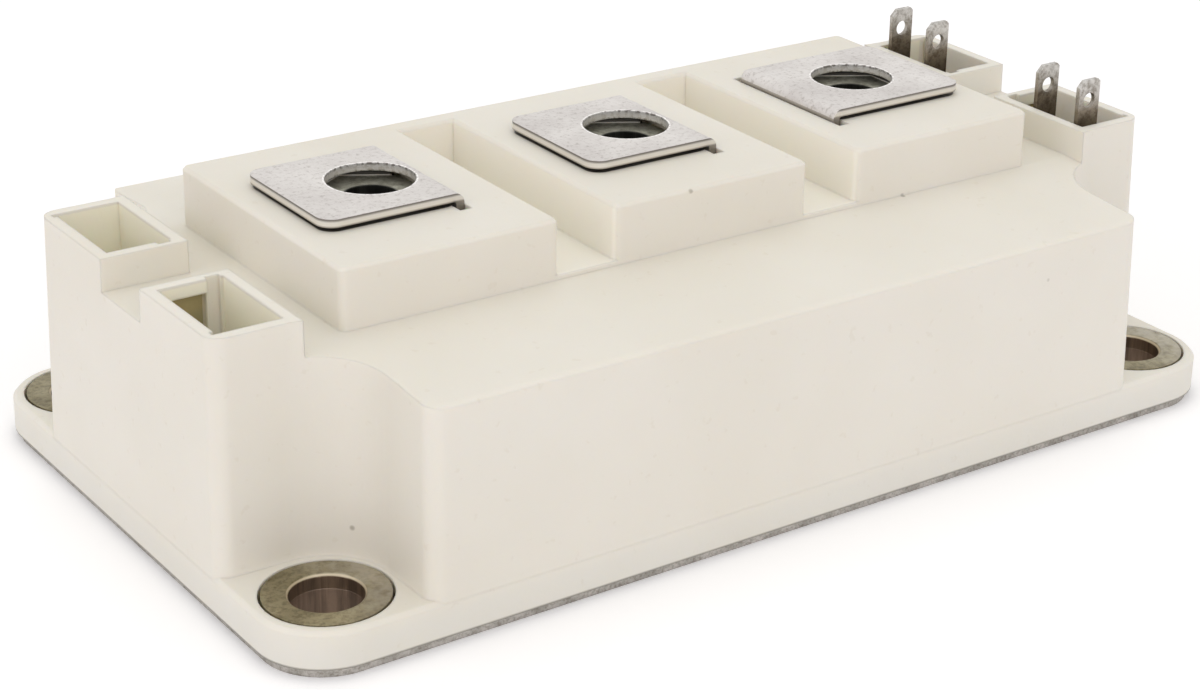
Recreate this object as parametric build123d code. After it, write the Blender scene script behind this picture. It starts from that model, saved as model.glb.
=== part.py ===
"""Half-bridge power module: moulded casing on a metal base plate, three screw
terminals on top, two pairs of push-on tabs at one end, two empty sockets at
the other, and the substrates, chips and gel that the casing closes in.

Millimetres. X runs along the length with the tabs at +X, Y runs across, Z is
up, and the origin is the middle of the underside of the base plate."""
import math
import os

from build123d import *

os.makedirs("parts", exist_ok=True)

# Overall sizes
length = 106.4
width = 61.4
block_top = 28.8
plate_top = 30.0
tab_top = 30.5

# Base plate and the skirt that wraps it
base_thick = 3.0
band_showing = 0.9
skirt_wall = 0.4
skirt_clear = 0.1
flange_corner = 6.4
flange_top = 4.4
hole_inset = 6.7
ring_bore = 6.4
ring_outer = 11.0
ring_clear = 0.25
ring_chamfer = 0.25
rim_chamfer = 0.4

# Casing outline above the flange
notch_length = 12.8
end_half_width = 17.6
notch_radius = 6.2
wall_corner = 1.6
draft = 1.2
wall_top = 21.8
shoulder_top = 23.0
shoulder_round = 1.2
casing_wall = 2.0
skirt_step = 0.2

# Raised row of three terminal blocks
row_margin = 1.4
row_shift = 0.5
channel_width = 6.0
row_half_width = 15.05
channel_floor = 23.5
channel_ridge = 2.2
block_round = 0.7
block_edge = 0.3

# Socket towers
tower_top = 26.1
tower_depth = 8.9
tower_gap = 7.8
tower_wall = 1.1
socket_floor = 17.0
key_width = 3.2
key_depth = 0.8
key_top_drop = 1.3
key_offset = 1.6
guide_offset = 0.2
guide_width = 1.3
guide_depth = 0.5
groove_width = 0.9
groove_side = 0.35
groove_depth = 0.6
tower_lean = 0.55
socket_back = 1.5

# Power terminals and their nuts
strip_thick = 0.8
strip_width = 15.0
plate_hole = 8.3
bend_outer = 1.0
free_margin_outer = 2.2
bend_room_outer = 0.3
end_margin = 2.6
plate_corner = 1.6
slot_clear = 0.1
slot_overrun = 1.1
window_clear = 0.25
leg_width = 9.0
foot_length = 5.0
nut_flats = 10.0
nut_thick = 5.0
nut_bore = 5.0
nut_clear = 0.1
pocket_extra = 0.4
screw_relief = 6.6
relief_depth = 2.0

# Signal tabs
tab_width = 2.8
tab_thick = 0.5
tab_spacing = 6.0
tab_hole = 1.6
tab_hole_drop = 2.15
tab_corner = 0.7
tab_outer_corner = 0.3
tab_clear = 0.1
tab_wall_gap = 0.3
tab_shift = 0.9
arm_z = 9.0
arm_height = 2.0
arm_inset = 3.5

# Stack on the base plate
copper_thick = 0.3
ceramic_thick = 0.6
chip_thick = 0.3
ceramic_end_gap = 3.2
ceramic_side_gap = 5.5
ceramic_gap = 2.0
copper_margin = 1.0
track_gap = 1.0
chip_margin = 1.0
chip_edge = 1.5
chip_room = 14.0
switch_edge = 4.0
diode_edge = 3.0
diode_less = 1.0
outer_track_width = 5.0
pad_width = 4.0
pad_gap = 0.5
wire_thick = 0.4
wire_rise = 1.6
wire_foot = 1.2
wire_mitre = 0.2
wire_count = 3
wire_inset = 2.5
wire_reach = 3.0
link_width = 2.4
link_overlap = 2.0
link_rise = 1.6
gel_top = 8.0
seal_thick = 0.3
seal_width = 1.4
seal_inset = 0.5

# Sizes that follow from those above
half_length = length / 2
half_width = width / 2
hole_x = half_length - hole_inset
hole_y = half_width - hole_inset
body_half_length = half_length - notch_length
row_half_length = body_half_length - row_margin
block_length = (2 * row_half_length - 2 * channel_width) / 3
terminal_pitch = block_length + channel_width
free_reach_outer = block_length / 2 - free_margin_outer
bend_reach_outer = nut_flats / 2 + bend_room_outer
reach_end = block_length / 2 - end_margin
ceramic_length = body_half_length - casing_wall - skirt_step - ceramic_end_gap - ceramic_gap / 2
ceramic_width = 2 * (half_width - casing_wall - skirt_step - ceramic_side_gap)
ceramic_end = ceramic_gap / 2 + ceramic_length
arm_end = ceramic_end - arm_inset
track_length = ceramic_length - 2 * copper_margin
track_half_width = ceramic_width / 2 - copper_margin
chip_track_half = track_half_width - outer_track_width - track_gap
switch_length = (track_length - chip_room) / 2
switch_width = chip_track_half - leg_width / 2 - chip_margin - chip_edge
diode_length = switch_length - diode_less
diode_width = switch_width - diode_less
switch_offset = (track_length - switch_length) / 2 - switch_edge
diode_offset = (track_length - diode_length) / 2 - diode_edge
wire_start = leg_width / 2 + chip_margin + wire_inset
wire_pitch = switch_length / wire_count
copper_bottom_top = base_thick + copper_thick
ceramic_top = copper_bottom_top + ceramic_thick
track_top = ceramic_top + copper_thick
chip_top = track_top + chip_thick
roof_under = wall_top - casing_wall
tower_inner = half_length - tower_depth
wall_lean = (tower_top - band_showing) * math.tan(math.radians(draft))
tab_x = tower_inner + tower_wall + tab_wall_gap + tab_width / 2
tower_mid = (tower_gap / 2 + end_half_width) / 2


def block(x0, x1, y0, y1, z0, z1):
    """Plain box given by its six faces."""
    size = Box(x1 - x0, y1 - y0, z1 - z0)
    return Pos((x0 + x1) / 2, (y0 + y1) / 2, (z0 + z1) / 2) * size


def rounded_slab(size_x, size_y, corner, z0, z1):
    outline = RectangleRounded(size_x, size_y, corner)
    return extrude(Pos(0, 0, z0) * outline, z1 - z0)


def plain_cross(inset):
    """Plan of the walls: wide in the middle, narrower at both ends."""
    middle = Rectangle(2 * (body_half_length - inset), 2 * (half_width - inset))
    ends = Rectangle(2 * (half_length - inset), 2 * (end_half_width - inset))
    return middle + ends


def corner_points():
    points = []
    for sx in (-1, 1):
        for sy in (-1, 1):
            points.append((sx * hole_x, sy * hole_y))
    return points


def terminal_centres():
    return [(index - 1) * terminal_pitch for index in range(3)]


def tab_places():
    """Y of the four tabs, two in each of the sockets at +X."""
    places = []
    for side in (-1, 1):
        for step in (-0.5, 0.5):
            places.append(side * (tower_mid + tab_shift) + step * tab_spacing)
    return places


# Casing
def roof_profile():
    """Section across the body: upright walls, sloping shoulders, flat middle."""
    points = [
        (-half_width, band_showing),
        (-half_width, wall_top),
        (-row_half_width, shoulder_top),
        (row_half_width, shoulder_top),
        (half_width, wall_top),
        (half_width, band_showing),
    ]
    face = make_face(Plane.YZ * Polyline(*points, close=True))
    bar = extrude(face, half_length, both=True)
    edges = bar.edges().filter_by(Axis.X).filter_by(
        lambda e: abs(e.center().Z - wall_top) < 0.01
    )
    return fillet(edges, shoulder_round)


def tower_blocks():
    shapes = []
    for sx in (-1, 1):
        for sy in (-1, 1):
            tower = block(tower_inner, half_length, tower_gap / 2, end_half_width, band_showing, tower_top)
            if sx < 0:
                tower = mirror(tower, Plane.YZ)
            if sy < 0:
                tower = mirror(tower, Plane.XZ)
            shapes.append(tower)
    return shapes


def inner_corner(edge):
    """True for the four corner edges that stand inside the screw notches."""
    off_x = abs(edge.center().X) - body_half_length + wall_lean / 2
    off_y = abs(edge.center().Y) - end_half_width + wall_lean / 2
    return abs(off_x) < wall_lean and abs(off_y) < wall_lean


def outer_corner(edge):
    """True for the eight corner edges at the far ends of the cross."""
    at_side = abs(abs(edge.center().Y) - half_width + wall_lean / 2) < wall_lean
    at_end = abs(abs(edge.center().X) - half_length + wall_lean / 2) < wall_lean
    return at_side or at_end


def standing_edges(shape):
    middle = (band_showing + tower_top) / 2
    return shape.edges().filter_by(lambda e: abs(e.center().Z - middle) < wall_lean)


def leaning_block(half_x, half_y):
    """Block whose four sides lean inward by the draft."""
    wedge = Wedge(
        2 * half_x,
        tower_top - band_showing,
        2 * half_y,
        wall_lean,
        wall_lean,
        2 * half_x - wall_lean,
        2 * half_y - wall_lean,
        align=(Align.CENTER, Align.MIN, Align.CENTER),
    )
    return Pos(0, 0, band_showing) * Rot(90, 0, 0) * wedge


def drafted_walls():
    """Leaning walls on the cross plan, rounded at their corners and cut to the roof."""
    prism = leaning_block(body_half_length, half_width)
    prism += leaning_block(half_length, end_half_width)
    prism = fillet(standing_edges(prism).filter_by(inner_corner), notch_radius)
    prism = fillet(standing_edges(prism).filter_by(outer_corner), wall_corner)
    shape = roof_profile()
    for tower in tower_blocks():
        shape += tower
    return prism & shape


def terminal_row():
    """Raised row with two channels that stop short of the back."""
    row = block(
        -row_half_length - row_shift,
        row_half_length - row_shift,
        -row_half_width,
        row_half_width,
        roof_under,
        block_top,
    )
    for side in (-1, 1):
        middle = side * terminal_pitch / 2 - row_shift
        row -= block(
            middle - channel_width / 2,
            middle + channel_width / 2,
            -row_half_width,
            row_half_width - channel_ridge,
            channel_floor,
            block_top,
        )
    uprights = row.edges().filter_by(Axis.Z).filter_by(
        lambda e: e.center().Z > channel_floor - 2 and abs(e.center().Y) > row_half_width - 0.1
    )
    row = fillet(uprights, block_round)
    top = row.faces().filter_by(Axis.Z).sort_by(Axis.Z)[-1]
    return chamfer(top.edges(), block_edge)


def socket_cut(sx, sy):
    """Open well of one socket with its key recess and corner groove."""
    x0 = tower_inner + tower_wall
    x1 = half_length - tower_lean - tower_wall
    y0 = tower_gap / 2 + tower_wall
    y1 = end_half_width - tower_lean - tower_wall
    well = block(x0, x1, y0, y1, socket_floor, tower_top)
    key_x0 = x0 + key_offset
    well += block(key_x0, key_x0 + key_width, y0 - key_depth, y0, socket_floor, tower_top - key_top_drop)
    guide_x0 = x0 + guide_offset
    well += block(guide_x0, guide_x0 + guide_width, y0 - guide_depth, y0, socket_floor, tower_top)
    well += block(x1 - groove_width, x1 + groove_side, y1 - groove_depth, y1, socket_floor, tower_top)
    if sx < 0:
        well = mirror(well, Plane.YZ)
    if sy < 0:
        well = mirror(well, Plane.XZ)
    return well


def cavity():
    """Room inside the casing, open underneath."""
    low = extrude(Pos(0, 0, base_thick) * plain_cross(casing_wall + skirt_step), roof_under - base_thick)
    inner_end = tower_inner - socket_back
    cut = low
    for sx in (-1, 1):
        x0, x1 = sorted((sx * inner_end, sx * half_length))
        cut -= block(x0, x1, -half_width, half_width, socket_floor - casing_wall, roof_under)
    return cut


def seal_band():
    outer = plain_cross(seal_inset)
    inner = plain_cross(seal_inset + seal_width)
    return extrude(Pos(0, 0, base_thick) * (outer - inner), seal_thick)


def terminal_slot(index):
    """Slot through block and roof for the leg of one terminal."""
    x0, x1 = leg_span(index)
    bend_room = bend_outer - strip_thick
    if bend_side(index) > 0:
        x0 -= bend_room
    else:
        x1 += bend_room
    half = strip_width / 2 + slot_overrun
    return block(x0 - slot_clear, x1 + slot_clear, -half, half, roof_under, block_top)


def nut_outline(across):
    """Hexagon with two of its flats facing along X."""
    return Rot(0, 0, 30) * RegularPolygon(across / 2, 6, major_radius=False)


def nut_pocket(x):
    depth = nut_thick + pocket_extra
    floor = block_top - depth
    across = nut_flats + 2 * nut_clear
    hexagon = nut_outline(across)
    pocket = extrude(Pos(x, 0, floor) * hexagon, depth)
    relief = Pos(x, 0, floor - relief_depth / 2) * Cylinder(screw_relief / 2, relief_depth)
    return pocket + relief


def make_casing():
    flange = rounded_slab(length, width, flange_corner, band_showing, flange_top)
    top_rim = flange.faces().sort_by(Axis.Z)[-1].edges()
    flange = chamfer(top_rim, rim_chamfer)
    shape = flange + drafted_walls() + terminal_row()
    shape -= rounded_slab(
        length - 2 * skirt_wall,
        width - 2 * skirt_wall,
        flange_corner - skirt_wall,
        band_showing,
        base_thick,
    )
    shape -= cavity()
    shape -= seal_band()
    for x, y in corner_points():
        shape -= Pos(x, y, flange_top) * Cylinder(ring_outer / 2 + ring_clear, 2 * flange_top)
    for sx in (-1, 1):
        for sy in (-1, 1):
            shape -= socket_cut(sx, sy)
    for index, x in enumerate(terminal_centres()):
        shape -= nut_pocket(x)
        shape -= terminal_slot(index)
    for y in tab_places():
        shape -= block(
            tab_x - tab_width / 2 - tab_clear,
            tab_x + tab_width / 2 + tab_clear,
            y - tab_thick / 2 - tab_clear,
            y + tab_thick / 2 + tab_clear,
            socket_floor - 2 * casing_wall,
            socket_floor,
        )
    return shape


# Base plate and rings
def make_base_plate():
    inset = skirt_wall + skirt_clear
    plate = rounded_slab(length - 2 * inset, width - 2 * inset, flange_corner - inset, 0, base_thick)
    for x, y in corner_points():
        plate -= Pos(x, y, base_thick / 2) * Cylinder(ring_bore / 2, base_thick)
    return plate


def make_ring(x, y):
    height = flange_top - base_thick
    ring = Cylinder(ring_outer / 2, height) - Cylinder(ring_bore / 2, height)
    mouth = ring.faces().sort_by(Axis.Z)[-1].edges().sort_by(SortBy.RADIUS)[0]
    ring = chamfer(mouth, ring_chamfer)
    return Pos(x, y, base_thick + height / 2) * ring


# Power terminals
def bend_side(index):
    """+1 where the strip turns down at its +X edge, -1 at its -X edge."""
    return -1 if index == 2 else 1


def reaches(index):
    if index == 2:
        return reach_end, reach_end
    return free_reach_outer, bend_reach_outer


def leg_span(index):
    centre = terminal_centres()[index]
    outer_face = centre + bend_side(index) * reaches(index)[1]
    inner_face = outer_face - bend_side(index) * strip_thick
    return tuple(sorted((outer_face, inner_face)))


def nut_window(bend):
    """Opening in the upper leg where a flat of the nut stands in its way."""
    inner = bend - strip_thick
    reach = nut_flats / 2 / math.cos(math.radians(30)) - inner * math.tan(math.radians(30))
    half = reach + window_clear
    floor = block_top - nut_thick - pocket_extra - window_clear
    top = block_top - pocket_extra + window_clear
    return block(inner - strip_thick, bend + strip_thick, -half, half, floor, top)


def make_power_terminal(index):
    """Flat top with a hole, a rounded bend, and a narrower leg to the track."""
    centre = terminal_centres()[index]
    side = bend_side(index)
    free, bend = reaches(index)
    bottom = plate_top - strip_thick
    top = block(-free, bend, -strip_width / 2, strip_width / 2, bottom, plate_top)
    neck = block(bend - strip_thick, bend, -strip_width / 2, strip_width / 2, roof_under, plate_top)
    strip = top + neck
    outer = strip.edges().filter_by(Axis.Y).filter_by(
        lambda e: abs(e.center().X - bend) < 0.01 and abs(e.center().Z - plate_top) < 0.01
    )
    strip = fillet(outer, bend_outer)
    inner = strip.edges().filter_by(Axis.Y).filter_by(
        lambda e: abs(e.center().X - bend + strip_thick) < 0.01 and abs(e.center().Z - bottom) < 0.01
    )
    strip = fillet(inner, bend_outer - strip_thick)
    free_corners = strip.edges().filter_by(Axis.Z).filter_by(lambda e: abs(e.center().X + free) < 0.01)
    strip = fillet(free_corners, plate_corner)
    strip -= Pos(0, 0, bottom) * Cylinder(plate_hole / 2, 4 * strip_thick)
    nut_reaches_leg = bend - strip_thick < nut_flats / 2 + window_clear
    if nut_reaches_leg:
        strip -= nut_window(bend)
    strip += block(bend - strip_thick, bend, -leg_width / 2, leg_width / 2, track_top, roof_under)
    foot_start = bend - foot_length if index != 1 else bend - strip_thick
    foot_end = foot_start + foot_length
    strip += block(foot_start, foot_end, -leg_width / 2, leg_width / 2, track_top, track_top + strip_thick)
    if side < 0:
        strip = mirror(strip, Plane.YZ)
    return Pos(centre, 0, 0) * strip


def make_nut(x):
    """Hexagon nut lying on the floor of its pocket, bored to the thread core."""
    nut = extrude(nut_outline(nut_flats), nut_thick)
    nut -= Pos(0, 0, nut_thick / 2) * Cylinder(nut_bore / 2, nut_thick)
    floor = block_top - nut_thick - pocket_extra
    return Pos(x, 0, floor) * nut


# Signal tabs
def make_tab(y):
    """Blanked strip: push-on blade above, arm and leg to the track below."""
    left = tab_x - tab_width / 2
    right = tab_x + tab_width / 2
    half = tab_thick / 2
    blade = block(left, right, -half, half, arm_z, tab_top)
    crown = blade.edges().filter_by(Axis.Y).filter_by(lambda e: e.center().Z > tab_top - 0.01)
    blade = chamfer(crown.sort_by(Axis.X)[0], tab_corner)
    crown = blade.edges().filter_by(Axis.Y).filter_by(lambda e: e.center().Z > tab_top - 0.01)
    blade = chamfer(crown.sort_by(Axis.X)[-1], tab_outer_corner)
    hole = Cylinder(tab_hole / 2, 4 * tab_thick)
    blade -= Pos(tab_x, 0, tab_top - tab_hole_drop) * Rot(90, 0, 0) * hole
    blade += block(arm_end, right, -half, half, arm_z, arm_z + arm_height)
    blade += block(arm_end, arm_end + tab_width / 2, -half, half, track_top, arm_z)
    return Pos(0, y, 0) * blade


# Substrates, chips and links
def ceramic_centre(side):
    return side * (ceramic_gap / 2 + ceramic_length / 2)


def make_bottom_copper(side):
    x = ceramic_centre(side)
    half_x = track_length / 2
    return block(x - half_x, x + half_x, -track_half_width, track_half_width, base_thick, copper_bottom_top)


def make_ceramic(side):
    x = ceramic_centre(side)
    half_x = ceramic_length / 2
    half_y = ceramic_width / 2
    return block(x - half_x, x + half_x, -half_y, half_y, copper_bottom_top, ceramic_top)


def track_rows():
    """Y bands of the copper tracks: outer strips and a wide one for the chips."""
    return {
        "control": (-track_half_width, -chip_track_half - track_gap),
        "chip": (-chip_track_half, chip_track_half),
        "return": (chip_track_half + track_gap, track_half_width),
    }


def make_track(side, row):
    x = ceramic_centre(side)
    y0, y1 = track_rows()[row]
    x0 = x - track_length / 2
    x1 = x + track_length / 2
    if row == "chip" and side > 0:
        x1 = arm_end - pad_gap
    return block(x0, x1, y0, y1, ceramic_top, track_top)


def make_tab_pad(y):
    """Small copper pad under the leg of one signal tab."""
    x1 = ceramic_end - copper_margin
    half = pad_width / 2
    return block(arm_end, x1, y - half, y + half, ceramic_top, track_top)


def chip_x(side):
    """Chips stand in the column that the terminal feet leave free."""
    return ceramic_centre(side) + side * switch_offset


def make_switch_chip(side, step):
    x = chip_x(side)
    y = step * (leg_width / 2 + chip_margin + switch_width / 2)
    half_x = switch_length / 2
    half_y = switch_width / 2
    return block(x - half_x, x + half_x, y - half_y, y + half_y, track_top, chip_top)


def make_diode_chip(side):
    x = ceramic_centre(side) - side * diode_offset
    y = leg_width / 2 + chip_margin + diode_width / 2
    half_x = diode_length / 2
    half_y = diode_width / 2
    return block(x - half_x, x + half_x, y - half_y, y + half_y, track_top, chip_top)


def wire_loop(y_start, y_end, x, z_start, z_end):
    """One heavy bond wire as a squared loop from a chip to a track."""
    direction = 1 if y_end > y_start else -1
    rise = chip_top + wire_rise
    foot = direction * wire_foot
    mitre = direction * wire_mitre
    points = [
        (y_start, z_start),
        (y_start + foot, z_start),
        (y_start + 2 * foot, rise),
        (y_end - 2 * foot, rise),
        (y_end - foot, z_end),
        (y_end, z_end),
        (y_end, z_end + wire_thick),
        (y_end - foot + mitre, z_end + wire_thick),
        (y_end - 2 * foot + mitre, rise + wire_thick),
        (y_start + 2 * foot - mitre, rise + wire_thick),
        (y_start + foot - mitre, z_start + wire_thick),
        (y_start, z_start + wire_thick),
    ]
    face = make_face(Plane.YZ * Polyline(*points, close=True))
    return Pos(x, 0, 0) * extrude(face, wire_thick / 2, both=True)


def make_wires(side):
    """Row of bond wires from both switch chips to the outer tracks."""
    wires = []
    rows = track_rows()
    for count in range(wire_count):
        x = chip_x(side) + (count - (wire_count - 1) / 2) * wire_pitch
        front_end = rows["control"][1] - wire_reach
        back_end = rows["return"][0] + wire_reach
        wires.append(wire_loop(-wire_start, front_end, x, chip_top, track_top))
        wires.append(wire_loop(wire_start, back_end, x, chip_top, track_top))
    return Compound(children=wires)


def make_link(row):
    """Copper strap that joins the tracks of the two substrates."""
    middle = sum(track_rows()[row]) / 2
    y0 = middle - link_width / 2
    y1 = middle + link_width / 2
    reach = ceramic_gap / 2 + copper_margin + link_overlap
    rise = track_top + link_rise
    strap = block(-reach, reach, y0, y1, rise, rise + copper_thick)
    for side in (-1, 1):
        x0, x1 = sorted((side * reach, side * (reach - copper_thick)))
        strap += block(x0, x1, y0, y1, track_top, rise)
    return strap


def make_gel(others):
    level = extrude(Pos(0, 0, base_thick) * plain_cross(casing_wall + skirt_step), gel_top - base_thick)
    for other in others:
        level -= other
    return level


def save(name, shape):
    shape.label = name
    export_step(shape, os.path.join("parts", name + ".step"))


parts = {}
parts["base_plate"] = make_base_plate()
parts["casing"] = make_casing()
parts["casing_seal"] = seal_band()

ring_names = ["back_left", "back_right", "front_left", "front_right"]
for name in ring_names:
    sx = 1 if name.endswith("right") else -1
    sy = 1 if name.startswith("back") else -1
    parts["mounting_ring_" + name] = make_ring(sx * hole_x, sy * hole_y)

for index, x in enumerate(terminal_centres()):
    parts[f"power_terminal_{index + 1}"] = make_power_terminal(index)
    parts[f"terminal_nut_{index + 1}"] = make_nut(x)

for index, y in enumerate(tab_places()):
    parts[f"signal_tab_{index + 1}"] = make_tab(y)
    parts[f"tab_pad_{index + 1}"] = make_tab_pad(y)

for side, word in ((-1, "left"), (1, "right")):
    parts["bottom_copper_" + word] = make_bottom_copper(side)
    parts["ceramic_" + word] = make_ceramic(side)
    for row in track_rows():
        parts[f"{row}_track_{word}"] = make_track(side, row)
    parts[f"switch_chip_{word}_front"] = make_switch_chip(side, -1)
    parts[f"switch_chip_{word}_back"] = make_switch_chip(side, 1)
    parts[f"diode_chip_{word}"] = make_diode_chip(side)
    parts["bond_wires_" + word] = make_wires(side)

parts["control_link"] = make_link("control")
parts["return_link"] = make_link("return")

in_the_gel = [name for name in parts if name not in ("base_plate", "casing", "casing_seal")]
parts["gel_fill"] = make_gel([parts[name] for name in in_the_gel if "ring" not in name and "nut" not in name])

for name, shape in parts.items():
    save(name, shape)
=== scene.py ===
"""Looks of the power module: materials on the CAD nodes, threads in the nuts, floor,
lamps and a camera placed as in the photograph. Lengths in metres, but for the camera's."""
import math

import bmesh
import bpy
from mathutils import Matrix, Vector


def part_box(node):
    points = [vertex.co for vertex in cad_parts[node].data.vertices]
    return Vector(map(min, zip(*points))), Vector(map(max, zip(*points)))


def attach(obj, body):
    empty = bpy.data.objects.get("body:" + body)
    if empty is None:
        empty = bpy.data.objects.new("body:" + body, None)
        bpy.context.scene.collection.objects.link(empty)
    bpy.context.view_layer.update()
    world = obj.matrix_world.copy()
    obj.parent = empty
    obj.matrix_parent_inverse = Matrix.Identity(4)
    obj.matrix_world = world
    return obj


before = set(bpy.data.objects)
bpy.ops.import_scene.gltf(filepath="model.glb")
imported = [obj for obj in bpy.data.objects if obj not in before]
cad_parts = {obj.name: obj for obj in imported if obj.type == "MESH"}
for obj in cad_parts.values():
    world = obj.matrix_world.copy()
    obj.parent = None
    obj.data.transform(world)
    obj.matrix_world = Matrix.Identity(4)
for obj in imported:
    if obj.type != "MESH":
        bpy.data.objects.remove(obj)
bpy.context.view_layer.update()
scene = bpy.context.scene

MM = 0.001

# The camera found by fitting the CAD sizes to the photograph: pixels, degrees and millimetres
IMAGE_W = 1200
IMAGE_H = 690
SENSOR = 36.0
CAM_AZ = -36.513
CAM_EL = 23.100
CAM_ROLL = 1.544
CAM_DIST = 256.652
CAM_TARGET = (2.880, -5.684, 12.0)
CAM_FOCAL = 2630.329
CAM_CX = 680.0
CAM_CY = 310.0


def middle_of(node):
    """Middle of the box of a CAD node."""
    low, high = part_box(node)
    return (low + high) / 2


# Places taken from the CAD nodes
SCREW = middle_of("mounting_ring_back_right")
TERMINAL_PITCH = middle_of("terminal_nut_3").x - middle_of("terminal_nut_2").x
STRIP_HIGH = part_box("power_terminal_2")[1]
PLATE_TOP = STRIP_HIGH.z
STRIP_HALF_WIDTH = STRIP_HIGH.y
SKIRT_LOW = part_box("casing")[0].z

# Sizes that the boxes of the nodes don't show
RING_BORE_R = 0.0032
BASE_HOLE_R = 0.0033
NUT_BORE_R = 0.0025
STRIP_HOLE_R = 0.00415
STRIP_THICK = 0.0008
STRIP_CORNER = 0.0016
BLOCK_TOP = 0.0288
THREAD_PITCH = 0.001
THREAD_MARGIN = 0.0006

# Lowest and highest corner of the socket and the key slot on the +X +Y side, and of a channel
# round its own middle
SOCKET = ((0.0454, 0.0049, 0.0170), (0.0511, 0.0166, 0.0258))
KEY_SLOT = ((0.0471, 0.0041, 0.0170), (0.0501, 0.0047, 0.0247))
CHANNEL = ((-0.0031, -0.0150, 0.0234), (0.0031, 0.0129, 0.0284))
CHANNEL_MIDDLES = (-0.0145, 0.0135)

# Colours used more than once or named by place
WHITE = (1.0, 1.0, 1.0)
# Painted light: the insides of the sockets lighter and yellower
SOCKET_PAINTED_LIGHT = (0.92, 0.89, 0.74)
# Painted shade: dark key slots in the sockets
KEY_SLOT_PAINTED_SHADE = (0.33, 0.29, 0.15)
# Painted light: lighter channels between the blocks
CHANNEL_PAINTED_LIGHT = (0.88, 0.85, 0.755)
# Painted shadow on the block tops under the strips
STRIP_PAINTED_SHADOW = (0.05, 0.045, 0.035)
# Painted shadow along the foot of the casing's skirt
SKIRT_PAINTED_SHADOW = (0.09, 0.08, 0.07)
# Painted sheen: paler right part of the mounting rings
ZINC_PAINTED_SHEEN = (0.60, 0.56, 0.48)
COOL_LIGHT = (0.98, 0.93, 1.0)


def make_camera():
    az = math.radians(CAM_AZ)
    el = math.radians(CAM_EL)
    roll = math.radians(CAM_ROLL)
    back = Vector((math.sin(az) * math.cos(el), -math.cos(az) * math.cos(el), math.sin(el)))
    right = (-back).cross(Vector((0, 0, 1))).normalized()
    up = right.cross(-back).normalized()
    right_rolled = math.cos(roll) * right + math.sin(roll) * up
    up_rolled = -math.sin(roll) * right + math.cos(roll) * up
    data = bpy.data.cameras.new("camera")
    data.sensor_width = SENSOR
    data.lens = CAM_FOCAL / IMAGE_W * SENSOR
    data.shift_x = (IMAGE_W / 2 - CAM_CX) / IMAGE_W
    data.shift_y = (CAM_CY - IMAGE_H / 2) / IMAGE_W
    data.clip_start = 0.01
    data.clip_end = 20.0
    cam = bpy.data.objects.new("camera", data)
    place = (Vector(CAM_TARGET) + back * CAM_DIST) * MM
    turn = Matrix((right_rolled, up_rolled, back)).transposed()
    cam.matrix_world = Matrix.Translation(place) @ turn.to_4x4()
    scene.collection.objects.link(cam)
    scene.camera = cam


# Material helpers
def new_material(name):
    mat = bpy.data.materials.new(name)
    mat.use_nodes = True
    tree = mat.node_tree
    shader = tree.nodes["Principled BSDF"]
    return mat, tree, shader


def place_coords(tree, scale=(1, 1, 1)):
    """Object coordinates: every node sits at the origin, so they are real metres."""
    coords = tree.nodes.new("ShaderNodeTexCoord")
    mapping = tree.nodes.new("ShaderNodeMapping")
    mapping.inputs["Scale"].default_value = scale
    tree.links.new(coords.outputs["Object"], mapping.inputs["Vector"])
    return mapping.outputs["Vector"]


def noise(tree, vector, scale, detail=4.0, rough=0.55):
    node = tree.nodes.new("ShaderNodeTexNoise")
    node.inputs["Scale"].default_value = scale
    node.inputs["Detail"].default_value = detail
    node.inputs["Roughness"].default_value = rough
    tree.links.new(vector, node.inputs["Vector"])
    return node.outputs["Fac"]


def ramp(tree, source, stops):
    """Colour by value, from a list of positions and colours."""
    node = tree.nodes.new("ShaderNodeValToRGB")
    node.color_ramp.elements[0].position = stops[0][0]
    node.color_ramp.elements[0].color = (*stops[0][1], 1)
    node.color_ramp.elements[1].position = stops[-1][0]
    node.color_ramp.elements[1].color = (*stops[-1][1], 1)
    for place, colour in stops[1:-1]:
        step = node.color_ramp.elements.new(place)
        step.color = (*colour, 1)
    tree.links.new(source, node.inputs["Fac"])
    return node.outputs["Color"]


def mix_colour(tree, fac, a, b, blend="MIX"):
    node = tree.nodes.new("ShaderNodeMix")
    node.data_type = "RGBA"
    node.blend_type = blend
    for socket, value in ((node.inputs[0], fac), (node.inputs[6], a), (node.inputs[7], b)):
        if isinstance(value, bpy.types.NodeSocket):
            tree.links.new(value, socket)
        elif isinstance(value, tuple):
            socket.default_value = (*value, 1)
        else:
            socket.default_value = value
    return node.outputs[2]


def map_range(tree, source, low, high, to_low, to_high):
    node = tree.nodes.new("ShaderNodeMapRange")
    tree.links.new(source, node.inputs[0])
    for index, value in enumerate((low, high, to_low, to_high)):
        node.inputs[index + 1].default_value = value
    return node.outputs[0]


def maths(tree, operation, a, b=None):
    node = tree.nodes.new("ShaderNodeMath")
    node.operation = operation
    for socket, value in ((node.inputs[0], a), (node.inputs[1], b)):
        if isinstance(value, bpy.types.NodeSocket):
            tree.links.new(value, socket)
        elif value is not None:
            socket.default_value = value
    return node.outputs[0]


def bump(tree, shader, height, strength, distance, bevel=0.0):
    """Fine relief, on edges that look rounded by the bevel."""
    node = tree.nodes.new("ShaderNodeBump")
    node.inputs["Strength"].default_value = strength
    node.inputs["Distance"].default_value = distance
    tree.links.new(height, node.inputs["Height"])
    if bevel:
        soft = tree.nodes.new("ShaderNodeBevel")
        soft.samples = 6
        soft.inputs["Radius"].default_value = bevel
        tree.links.new(soft.outputs["Normal"], node.inputs["Normal"])
    tree.links.new(node.outputs["Normal"], shader.inputs["Normal"])


def roughness(tree, shader, pattern, low, high):
    tree.links.new(map_range(tree, pattern, 0.3, 0.7, low, high), shader.inputs["Roughness"])


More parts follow.
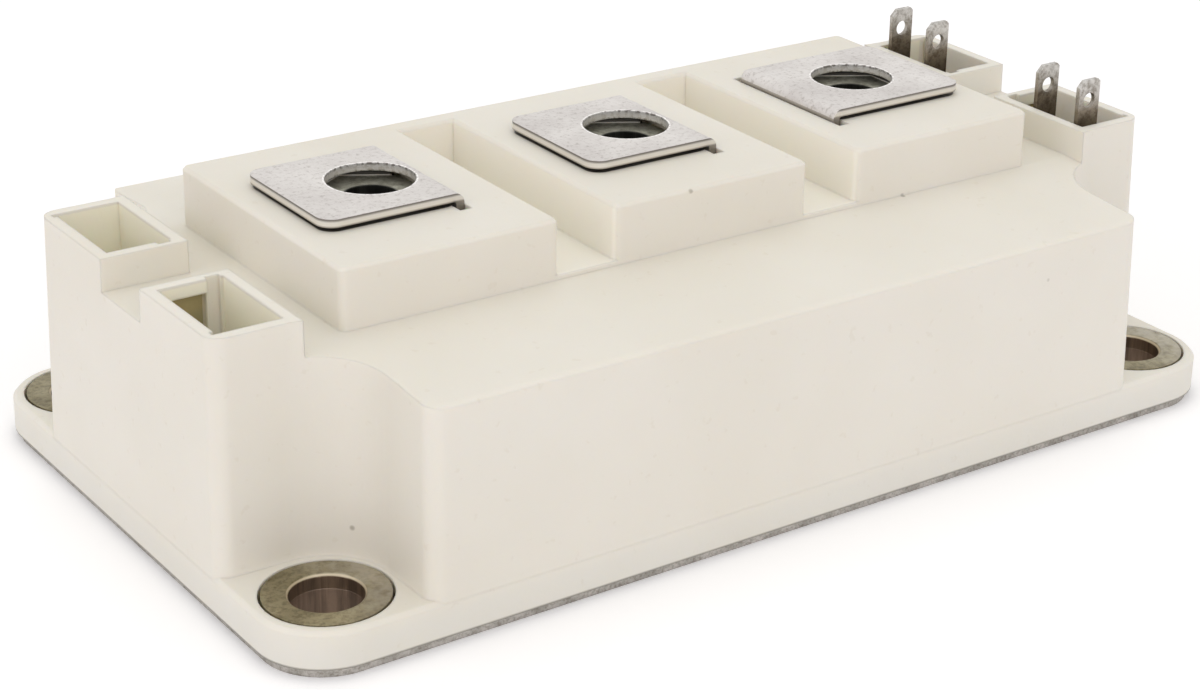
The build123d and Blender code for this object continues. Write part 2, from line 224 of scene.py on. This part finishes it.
# Masks by place
def split_place(tree):
    """X, Y and Z of the point, in metres."""
    node = tree.nodes.new("ShaderNodeSeparateXYZ")
    tree.links.new(place_coords(tree), node.inputs["Vector"])
    return node.outputs["X"], node.outputs["Y"], node.outputs["Z"]


def inside(tree, value, middle, half, soft):
    """One where the value is within half of the middle, falling to zero over the soft edge."""
    away = maths(tree, "ABSOLUTE", maths(tree, "SUBTRACT", value, middle))
    return map_range(tree, away, half, half + soft, 1.0, 0.0)


def inside_box(tree, low, high, soft):
    """One inside the box given by its two corners in metres."""
    mask = None
    for value, a, b in zip(split_place(tree), low, high):
        part = inside(tree, value, (a + b) / 2, (b - a) / 2, soft)
        mask = part if mask is None else maths(tree, "MULTIPLY", mask, part)
    return mask


def length_of(tree, dx, dy):
    squares = maths(tree, "ADD", maths(tree, "MULTIPLY", dx, dx), maths(tree, "MULTIPLY", dy, dy))
    return maths(tree, "SQRT", squares)


def from_screw_hole(tree):
    """Distance from the axis of the nearest mounting hole."""
    x, y, _ = split_place(tree)
    dx = maths(tree, "SUBTRACT", maths(tree, "ABSOLUTE", x), SCREW.x)
    dy = maths(tree, "SUBTRACT", maths(tree, "ABSOLUTE", y), SCREW.y)
    return length_of(tree, dx, dy)


def right_of_screw_hole(tree):
    """How far to the right of the axis of the nearest mounting hole."""
    x, _, _ = split_place(tree)
    return maths(tree, "SUBTRACT", x, maths(tree, "MULTIPLY", maths(tree, "SIGN", x), SCREW.x))


def from_terminal(tree):
    """Distance from the axis of the nearest terminal."""
    x, y, _ = split_place(tree)
    folded = maths(tree, "MODULO", maths(tree, "ADD", x, 1.5 * TERMINAL_PITCH), TERMINAL_PITCH)
    return length_of(tree, maths(tree, "SUBTRACT", folded, TERMINAL_PITCH / 2), y)


# Mask of the painted shadow under the strips
def under_plate(tree, x0, x1):
    """One on the top of a block under the strip between x0 and x1, zero outside."""
    inset = 0.0001
    soft = 0.00015
    x, y, z = split_place(tree)
    sides = []
    for value, middle, half in (
        (x, (x0 + x1) / 2, (x1 - x0) / 2 - inset),
        (y, 0.0, STRIP_HALF_WIDTH - inset),
    ):
        away = maths(tree, "ABSOLUTE", maths(tree, "SUBTRACT", value, middle))
        past = maths(tree, "MAXIMUM", maths(tree, "SUBTRACT", away, half - STRIP_CORNER), 0.0)
        sides.append(maths(tree, "MULTIPLY", past, past))
    reach = maths(tree, "SQRT", maths(tree, "ADD", sides[0], sides[1]))
    plan = map_range(tree, reach, STRIP_CORNER - soft, STRIP_CORNER, 1.0, 0.0)
    layer = inside(tree, z, middle=BLOCK_TOP - 0.0001, half=0.0002, soft=0.00005)
    return maths(tree, "MULTIPLY", plan, layer)


def mirrored(box, side_x, side_y):
    """The box on another side of the middle, as its lowest and its highest corner."""
    (x0, y0, z0), (x1, y1, z1) = box
    x0, x1 = sorted((side_x * x0, side_x * x1))
    y0, y1 = sorted((side_y * y0, side_y * y1))
    return (x0, y0, z0), (x1, y1, z1)


def painted_light_and_shade_boxes():
    """Boxes in the casing with painted light and shade: lighter sockets and channels, dark key slots."""
    painted_boxes = []
    for side_x in (-1, 1):
        for side_y in (-1, 1):
            painted_boxes.append((*mirrored(SOCKET, side_x, side_y), SOCKET_PAINTED_LIGHT))
            painted_boxes.append((*mirrored(KEY_SLOT, side_x, side_y), KEY_SLOT_PAINTED_SHADE))
    (x0, y0, z0), (x1, y1, z1) = CHANNEL
    for middle in CHANNEL_MIDDLES:
        painted_boxes.append(((middle + x0, y0, z0), (middle + x1, y1, z1), CHANNEL_PAINTED_LIGHT))
    return painted_boxes


def strip_spans():
    """From which X to which X each strip lies over its block, its foot below left out."""
    flat_part = PLATE_TOP - 0.0005
    spans = []
    for count in (1, 2, 3):
        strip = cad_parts[f"power_terminal_{count}"]
        reach = [v.co.x for v in strip.data.vertices if v.co.z > flat_part]
        spans.append((min(reach), max(reach)))
    return spans


# Materials
def dust(tree, place, colour):
    """Small dark dots, far apart."""
    dots = tree.nodes.new("ShaderNodeTexVoronoi")
    dots.inputs["Scale"].default_value = 95.0
    dots.inputs["Randomness"].default_value = 1.0
    tree.links.new(place, dots.inputs["Vector"])
    dot = map_range(tree, dots.outputs["Distance"], 0.012, 0.030, 0.55, 0.0)
    return mix_colour(tree, dot, colour, (0.22, 0.19, 0.13))


def ivory_plastic():
    """Satin moulded casing: warm ivory with a faint mottle, specks, dust, fine grain and soft
    edges. Painted light makes its sockets and channels lighter; painted shade darkens its key slots, the
    block tops under the strips and the foot of its skirt."""
    mat, tree, shader = new_material("ivory_plastic")
    place = place_coords(tree)
    cloud = noise(tree, place, scale=35.0, detail=3.0)
    base = ramp(tree, cloud, [(0.30, (0.772, 0.738, 0.640)), (0.70, (0.812, 0.784, 0.700))])
    fine = noise(tree, place, scale=900.0, detail=2.0)
    specks = ramp(tree, fine, [(0.26, (0.90, 0.87, 0.82)), (0.33, WHITE)])
    colour = mix_colour(tree, 0.35, base, specks, "MULTIPLY")
    colour = dust(tree, place, colour)
    # Painted light in the sockets and channels, painted shade in the key slots
    for low, high, painted_tone in painted_light_and_shade_boxes():
        colour = mix_colour(tree, inside_box(tree, low, high, soft=0.00015), colour, painted_tone)
    # Painted shadow on each block top under its strip
    for x0, x1 in strip_spans():
        colour = mix_colour(tree, under_plate(tree, x0, x1), colour, STRIP_PAINTED_SHADOW)
    # Painted shadow along the foot of the skirt
    _, _, level = split_place(tree)
    skirt_shadow = map_range(tree, level, SKIRT_LOW, SKIRT_LOW + 0.00022, 0.85, 0.0)
    colour = mix_colour(tree, skirt_shadow, colour, SKIRT_PAINTED_SHADOW)
    tree.links.new(colour, shader.inputs["Base Color"])
    roughness(tree, shader, noise(tree, place, scale=220.0), 0.40, 0.54)
    shader.inputs["IOR"].default_value = 1.48
    shader.inputs["Subsurface Weight"].default_value = 0.20
    shader.inputs["Subsurface Radius"].default_value = (0.0016, 0.0012, 0.0007)
    shader.inputs["Subsurface Scale"].default_value = 1.0
    grain = noise(tree, place, scale=2600.0, detail=3.0)
    waves = noise(tree, place, scale=180.0, detail=2.0)
    bump(tree, shader, maths(tree, "ADD", grain, waves), strength=0.12, distance=0.00012, bevel=0.00032)
    return mat


def strip_edge(tree, colour):
    """The sheared edge of the strips: dark below, pale in the middle, a dark line on top."""
    _, _, level = split_place(tree)
    height = map_range(tree, level, PLATE_TOP - STRIP_THICK, PLATE_TOP, 0.0, 1.0)
    edge = ramp(tree, height, [
        (0.0, (0.34, 0.31, 0.27)),
        (0.25, (0.80, 0.76, 0.69)),
        (0.62, (0.76, 0.73, 0.68)),
        (0.86, (0.22, 0.20, 0.18)),
    ])
    facing = tree.nodes.new("ShaderNodeNewGeometry")
    upright = tree.nodes.new("ShaderNodeSeparateXYZ")
    tree.links.new(facing.outputs["True Normal"], upright.inputs["Vector"])
    slope = maths(tree, "ABSOLUTE", upright.outputs["Z"])
    return mix_colour(tree, map_range(tree, slope, 0.05, 0.15, 1.0, 0.0), colour, edge)


def plated_strip():
    """Tin plated copper strip: pale silver with a faint warm tint, rolled grain, pits,
    scratches, and a painted highlight in dots round the hole."""
    mat, tree, shader = new_material("plated_strip")
    place = place_coords(tree)
    cloud = noise(tree, place, scale=160.0, detail=5.0)
    base = ramp(tree, cloud, [
        (0.30, (0.62, 0.585, 0.56)),
        (0.55, (0.71, 0.68, 0.65)),
        (0.75, (0.78, 0.75, 0.72)),
    ])
    pitted = noise(tree, place, scale=1900.0, detail=5.0, rough=0.75)
    pits = ramp(tree, pitted, [(0.38, (0.50, 0.47, 0.44)), (0.44, (0.88, 0.86, 0.85)), (0.52, WHITE)])
    base = mix_colour(tree, 0.5, base, pits, "MULTIPLY")
    lines = noise(tree, place_coords(tree, (14.0, 1.0, 14.0)), scale=420.0, detail=6.0, rough=0.7)
    scratches = noise(tree, place_coords(tree, (1.0, 18.0, 1.0)), scale=300.0, detail=5.0, rough=0.75)
    wear_and_sheen = ramp(tree, scratches, [(0.58, WHITE), (0.66, (0.78, 0.76, 0.75)), (0.73, WHITE)])
    colour = mix_colour(tree, 0.4, base, wear_and_sheen, "MULTIPLY")
    colour = strip_edge(tree, colour)
    # Painted highlight: bright dots in a ring round the hole
    hole_highlight = inside(tree, from_terminal(tree), STRIP_HOLE_R + 0.00008, half=0.00006, soft=0.00006)
    highlight_dots = map_range(tree, noise(tree, place, scale=2600.0, detail=3.0), 0.42, 0.52, 0.0, 1.0)
    colour = mix_colour(tree, maths(tree, "MULTIPLY", hole_highlight, highlight_dots), colour, (0.97, 0.95, 0.92))
    tree.links.new(colour, shader.inputs["Base Color"])
    shader.inputs["Metallic"].default_value = 0.85
    roughness(tree, shader, lines, 0.34, 0.56)
    relief = maths(tree, "ADD", maths(tree, "ADD", lines, scratches), pitted)
    bump(tree, shader, relief, strength=0.30, distance=0.00008, bevel=0.0002)
    return mat


def streaked(tree, stain):
    """The stain of a bore with upright streaks, darker and paler than the stain itself."""
    upright = place_coords(tree, (1.0, 1.0, 0.06))
    pattern = noise(tree, upright, scale=900.0, rough=0.7)
    deep = tuple(0.78 * part for part in stain)
    pale = tuple(1.50 * part for part in stain)
    return mix_colour(tree, map_range(tree, pattern, 0.40, 0.62, 0.0, 1.0), deep, pale)


def stained_bores(tree, colour, distance, radius, soft, stain):
    """Streaked stain on the walls of the bores that distance is measured from."""
    wall = map_range(tree, distance(tree), radius, radius + soft, 1.0, 0.0)
    return mix_colour(tree, wall, colour, streaked(tree, stain))


def sheen_on_right_part(tree, place, colour):
    """Painted sheen: a paler, patchy right part on each mounting ring."""
    wear_and_sheen = map_range(tree, right_of_screw_hole(tree), -0.001, 0.0045, 0.0, 0.55)
    patch = map_range(tree, noise(tree, place, scale=700.0), 0.35, 0.55, 0.35, 1.0)
    return mix_colour(tree, maths(tree, "MULTIPLY", wear_and_sheen, patch), colour, ZINC_PAINTED_SHEEN)


def turned_metal(name, dark, light, metallic, rough, scale=60.0, bores=None, rim_highlight=None):
    """Turned or stamped metal with stains and fine grain. The bores may be stained, and with
    a rim colour the face gets a painted sheen on the right and a painted highlight round the mouth of the
    bore."""
    mat, tree, shader = new_material(name)
    place = place_coords(tree)
    cloud = noise(tree, place, scale=scale * 4, detail=5.0)
    base = ramp(tree, cloud, [(0.30, dark), (0.70, light)])
    fine = noise(tree, place, scale=scale * 26, detail=5.0, rough=0.75)
    spots = ramp(tree, fine, [(0.38, (0.45, 0.42, 0.37)), (0.55, WHITE)])
    colour = mix_colour(tree, 0.7, base, spots, "MULTIPLY")
    # Painted sheen on the right part of the face
    if rim_highlight:
        colour = sheen_on_right_part(tree, place, colour)
    if bores:
        colour = stained_bores(tree, colour, **bores)
    if rim_highlight:
        # Painted highlight round the mouth of the bore
        bore_mouth_highlight = inside(tree, bores["distance"](tree), bores["radius"] + 0.0001, half=0.00004, soft=0.00005)
        colour = mix_colour(tree, bore_mouth_highlight, colour, rim_highlight)
    tree.links.new(colour, shader.inputs["Base Color"])
    shader.inputs["Metallic"].default_value = metallic
    roughness(tree, shader, noise(tree, place, scale=scale * 12), *rough)
    grain = noise(tree, place, scale=scale * 50, detail=3.0)
    bump(tree, shader, grain, strength=0.25, distance=0.00006, bevel=0.00015)
    return mat


def ring_zinc():
    """Yellow passivated mounting rings."""
    bores = {"distance": from_screw_hole, "radius": RING_BORE_R + 0.00001, "soft": 0.00002,
             "stain": (0.15, 0.105, 0.07)}
    # The last colour paints a highlight round the bore and a sheen on the right of each ring
    return turned_metal("ring_zinc", (0.18, 0.15, 0.075), (0.40, 0.355, 0.225), 0.75, (0.32, 0.5),
                        bores=bores, rim_highlight=(0.58, 0.50, 0.36))


def nut_steel():
    """Zinc plated nuts with dark bores."""
    bores = {"distance": from_terminal, "radius": NUT_BORE_R + 0.00002, "soft": 0.00025,
             "stain": (0.045, 0.045, 0.038)}
    return turned_metal("nut_steel", (0.42, 0.42, 0.34), (0.64, 0.64, 0.55), 0.8, (0.3, 0.48), bores=bores)


def nickel_base():
    """Finely ground base plate, stained in its four holes."""
    bores = {"distance": from_screw_hole, "radius": BASE_HOLE_R, "soft": 0.00020,
             "stain": (0.24, 0.175, 0.13)}
    return turned_metal("nickel_base", (0.40, 0.38, 0.34), (0.66, 0.63, 0.59), 0.8, (0.38, 0.55),
                        scale=120.0, bores=bores)


def tab_metal():
    """Tinned blade, silver at the top and dark brown lower down, towards the socket."""
    dark_level = 0.0245
    silver_level = 0.0298
    mat, tree, shader = new_material("tab_tin")
    place = place_coords(tree)
    _, _, level = split_place(tree)
    wobble = map_range(tree, noise(tree, place, scale=500.0), 0.0, 1.0, -0.0012, 0.0012)
    height = map_range(tree, maths(tree, "ADD", level, wobble), dark_level, silver_level, 0.0, 1.0)
    base = ramp(tree, height, [
        (0.0, (0.085, 0.065, 0.042)),
        (0.50, (0.24, 0.20, 0.15)),
        (1.0, (0.62, 0.60, 0.565)),
    ])
    fine = noise(tree, place, scale=1500.0, detail=5.0, rough=0.75)
    stains = ramp(tree, fine, [(0.38, (0.40, 0.37, 0.33)), (0.55, WHITE)])
    colour = mix_colour(tree, 0.8, base, stains, "MULTIPLY")
    tree.links.new(colour, shader.inputs["Base Color"])
    shader.inputs["Metallic"].default_value = 0.8
    roughness(tree, shader, noise(tree, place, scale=900.0), 0.3, 0.5)
    grain = noise(tree, place, scale=2500.0, detail=3.0)
    bump(tree, shader, grain, strength=0.2, distance=0.00005, bevel=0.00008)
    return mat


def soft_fill(name, dark, light, rough, sub=0.0):
    """Pale fills and ceramics: a faint mottle and a fine grain."""
    mat, tree, shader = new_material(name)
    place = place_coords(tree)
    base = ramp(tree, noise(tree, place, scale=120.0), [(0.3, dark), (0.7, light)])
    tree.links.new(base, shader.inputs["Base Color"])
    roughness(tree, shader, noise(tree, place, scale=300.0, detail=3.0), rough - 0.05, rough + 0.05)
    shader.inputs["Subsurface Weight"].default_value = sub
    shader.inputs["Subsurface Radius"].default_value = (0.001, 0.001, 0.001)
    bump(tree, shader, noise(tree, place, scale=900.0, detail=3.0), strength=0.15, distance=0.00005)
    return mat


def assign(start, mat):
    """Gives the material to every CAD node whose name starts so."""
    for name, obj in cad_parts.items():
        if name.startswith(start):
            obj.data.materials.clear()
            obj.data.materials.append(mat)


def dress_outside(nut_metal):
    assign("casing", ivory_plastic())
    assign("base_plate", nickel_base())
    assign("mounting_ring", ring_zinc())
    assign("power_terminal", plated_strip())
    assign("terminal_nut", nut_metal)
    assign("signal_tab", tab_metal())


def dress_inside():
    assign("casing_seal", soft_fill("seal_silicone", (0.62, 0.60, 0.55), (0.70, 0.69, 0.64), 0.45, 0.1))
    assign("gel_fill", soft_fill("gel", (0.70, 0.71, 0.70), (0.80, 0.81, 0.80), 0.2, 0.3))
    assign("ceramic", soft_fill("ceramic", (0.82, 0.82, 0.79), (0.88, 0.88, 0.86), 0.5))
    copper = turned_metal("copper", (0.55, 0.28, 0.17), (0.68, 0.38, 0.25), 0.95, (0.3, 0.45))
    for start in ("bottom_copper", "control_", "chip_", "return_", "tab_pad"):
        assign(start, copper)
    silicon = turned_metal("silicon", (0.40, 0.40, 0.42), (0.52, 0.52, 0.54), 0.8, (0.2, 0.35))
    for start in ("switch_chip", "diode_chip"):
        assign(start, silicon)
    wire = turned_metal("wire_aluminium", (0.70, 0.70, 0.70), (0.80, 0.80, 0.80), 0.95, (0.25, 0.4))
    assign("bond_wires", wire)


# Threads in the nuts
def make_thread(name, x, z0, z1, mat):
    """Helical thread ridge lying on the bore of one nut. Each point of its section is a
    distance outwards from the bore and a rise in shares of the pitch."""
    steps_a_turn = 40
    root = 0.00015
    crest = 0.00042
    section = ((root, -0.42), (-crest, -0.08), (-crest, 0.08), (root, 0.42))
    mesh = bpy.data.meshes.new(name)
    bm = bmesh.new()
    steps = int((z1 - z0) / THREAD_PITCH * steps_a_turn)
    rings = []
    for index in range(steps + 1):
        turns = index / steps_a_turn
        angle = turns * 2 * math.pi
        ring = []
        for outwards, rise in section:
            r = NUT_BORE_R + outwards
            z = z0 + (turns + rise) * THREAD_PITCH
            ring.append(bm.verts.new((x + r * math.cos(angle), r * math.sin(angle), z)))
        rings.append(ring)
    for a, b in zip(rings, rings[1:]):
        for k in range(len(section)):
            after = (k + 1) % len(section)
            bm.faces.new((a[k], a[after], b[after], b[k]))
    bm.faces.new(rings[0])
    bm.faces.new(list(reversed(rings[-1])))
    bmesh.ops.recalc_face_normals(bm, faces=bm.faces)
    bm.to_mesh(mesh)
    bm.free()
    obj = bpy.data.objects.new(name, mesh)
    mesh.materials.append(mat)
    for poly in mesh.polygons:
        poly.use_smooth = True
    scene.collection.objects.link(obj)
    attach(obj, "root")


# Floor, world and lamps
def seen_directly(tree):
    """One for rays that show a surface to the camera, also by gloss or through clear pieces."""
    path = tree.nodes.new("ShaderNodeLightPath")
    seen = maths(tree, "MAXIMUM", path.outputs["Is Camera Ray"], path.outputs["Is Glossy Ray"])
    return maths(tree, "MAXIMUM", seen, path.outputs["Is Transmission Ray"])


def floor_white():
    """Matt white that glows slightly where it is seen, and is clear from underneath."""
    grey = 0.93
    glow_strength = 0.16
    mat, tree, shader = new_material("floor_white")
    shader.inputs["Base Color"].default_value = (grey, grey, grey, 1)
    shader.inputs["Roughness"].default_value = 0.9
    shader.inputs["Specular IOR Level"].default_value = 0.0
    grain = noise(tree, place_coords(tree), scale=40.0, detail=2.0)
    bump(tree, shader, grain, strength=0.02, distance=0.0005)
    glow = tree.nodes.new("ShaderNodeEmission")
    tree.links.new(maths(tree, "MULTIPLY", seen_directly(tree), glow_strength), glow.inputs["Strength"])
    both = tree.nodes.new("ShaderNodeAddShader")
    tree.links.new(shader.outputs[0], both.inputs[0])
    tree.links.new(glow.outputs[0], both.inputs[1])
    clear = tree.nodes.new("ShaderNodeBsdfTransparent")
    side = tree.nodes.new("ShaderNodeNewGeometry")
    open_below = tree.nodes.new("ShaderNodeMixShader")
    tree.links.new(side.outputs["Backfacing"], open_below.inputs["Fac"])
    tree.links.new(both.outputs[0], open_below.inputs[1])
    tree.links.new(clear.outputs[0], open_below.inputs[2])
    tree.links.new(open_below.outputs[0], tree.nodes["Material Output"].inputs["Surface"])
    return mat


def make_floor():
    half = 3.0
    gap = 0.00002
    corners = [(-half, -half, 0.0), (half, -half, 0.0), (half, half, 0.0), (-half, half, 0.0)]
    mesh = bpy.data.meshes.new("floor")
    mesh.from_pydata(corners, [], [(0, 1, 2, 3)])
    mesh.materials.append(floor_white())
    obj = bpy.data.objects.new("floor", mesh)
    scene.collection.objects.link(obj)
    obj.location.z = -gap


def lamp(name, place, size, power, colour=WHITE):
    """Round lamp that points at the middle of the module."""
    data = bpy.data.lights.new(name, "AREA")
    data.shape = "DISK"
    data.size = size
    data.energy = power
    data.color = colour
    aim = Vector((0, 0, 0.01)) - Vector(place)
    obj = bpy.data.objects.new(name, data)
    obj.location = place
    obj.rotation_mode = "QUATERNION"
    obj.rotation_quaternion = aim.to_track_quat("-Z", "Y")
    scene.collection.objects.link(obj)


def make_world():
    """White where it is seen, and a soft sweep of light for everything else."""
    world = bpy.data.worlds.new("studio")
    scene.world = world
    world.use_nodes = True
    tree = world.node_tree
    shade = tree.nodes["Background"]
    coords = tree.nodes.new("ShaderNodeTexCoord")
    split = tree.nodes.new("ShaderNodeSeparateXYZ")
    tree.links.new(coords.outputs["Generated"], split.inputs["Vector"])
    sweep = ramp(tree, split.outputs["Z"], [(0.0, (0.99, 0.92, 1.0)), (0.75, (1.0, 1.0, 0.97))])
    tree.links.new(sweep, shade.inputs["Color"])
    shade.inputs["Strength"].default_value = 0.80
    white = tree.nodes.new("ShaderNodeBackground")
    white.inputs["Color"].default_value = (*WHITE, 1)
    white.inputs["Strength"].default_value = 1.0
    mix = tree.nodes.new("ShaderNodeMixShader")
    tree.links.new(seen_directly(tree), mix.inputs["Fac"])
    tree.links.new(shade.outputs[0], mix.inputs[1])
    tree.links.new(white.outputs[0], mix.inputs[2])
    tree.links.new(mix.outputs[0], tree.nodes["World Output"].inputs["Surface"])


scene.view_settings.view_transform = "Standard"
make_camera()

nut_metal = nut_steel()
dress_outside(nut_metal)
dress_inside()

for count in (1, 2, 3):
    low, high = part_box(f"terminal_nut_{count}")
    middle = (low.x + high.x) / 2
    make_thread(f"nut_thread_{count}", middle, low.z + THREAD_MARGIN, high.z - THREAD_MARGIN, nut_metal)

make_floor()
make_world()
lamp("key", (-0.15, -0.95, 0.60), size=0.60, power=1.6, colour=COOL_LIGHT)
lamp("fill", (-0.95, -0.10, 0.45), size=0.70, power=1.3, colour=COOL_LIGHT)
lamp("top", (0.10, 0.25, 1.05), size=0.70, power=1.0)
